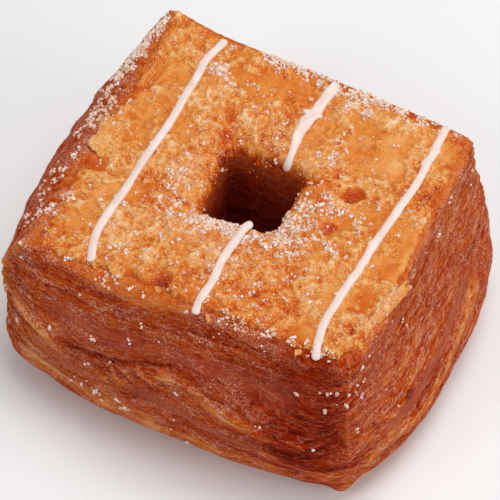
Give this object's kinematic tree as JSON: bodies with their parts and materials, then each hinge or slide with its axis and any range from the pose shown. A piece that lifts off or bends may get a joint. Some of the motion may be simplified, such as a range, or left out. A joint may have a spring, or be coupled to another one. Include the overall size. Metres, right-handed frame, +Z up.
{
  "type": "croissant doughnut",
  "caption": "Square ring of fried, layered croissant dough with a browned crust, a square hole through it, thin lines of white icing across the top and scattered sugar.",
  "frame": {"origin": "on the surface it stands on, under the middle of its box", "axes": "+Z up, +X along its longer side, and the lines of icing run along Y, with the front at -Y"},
  "size_m": [0.0946, 0.0835, 0.0437],
  "materials": {
    "crust": "browned, flaky fried dough with a slight oily sheen, golden on top and red-brown on the layered sides",
    "icing": "set sugar icing, off-white and satin",
    "sugar": "clear to white granulated sugar crystals"
  },
  "bodies": {
    "root": {"pastry": "crust"}
  },
  "joints": []
}
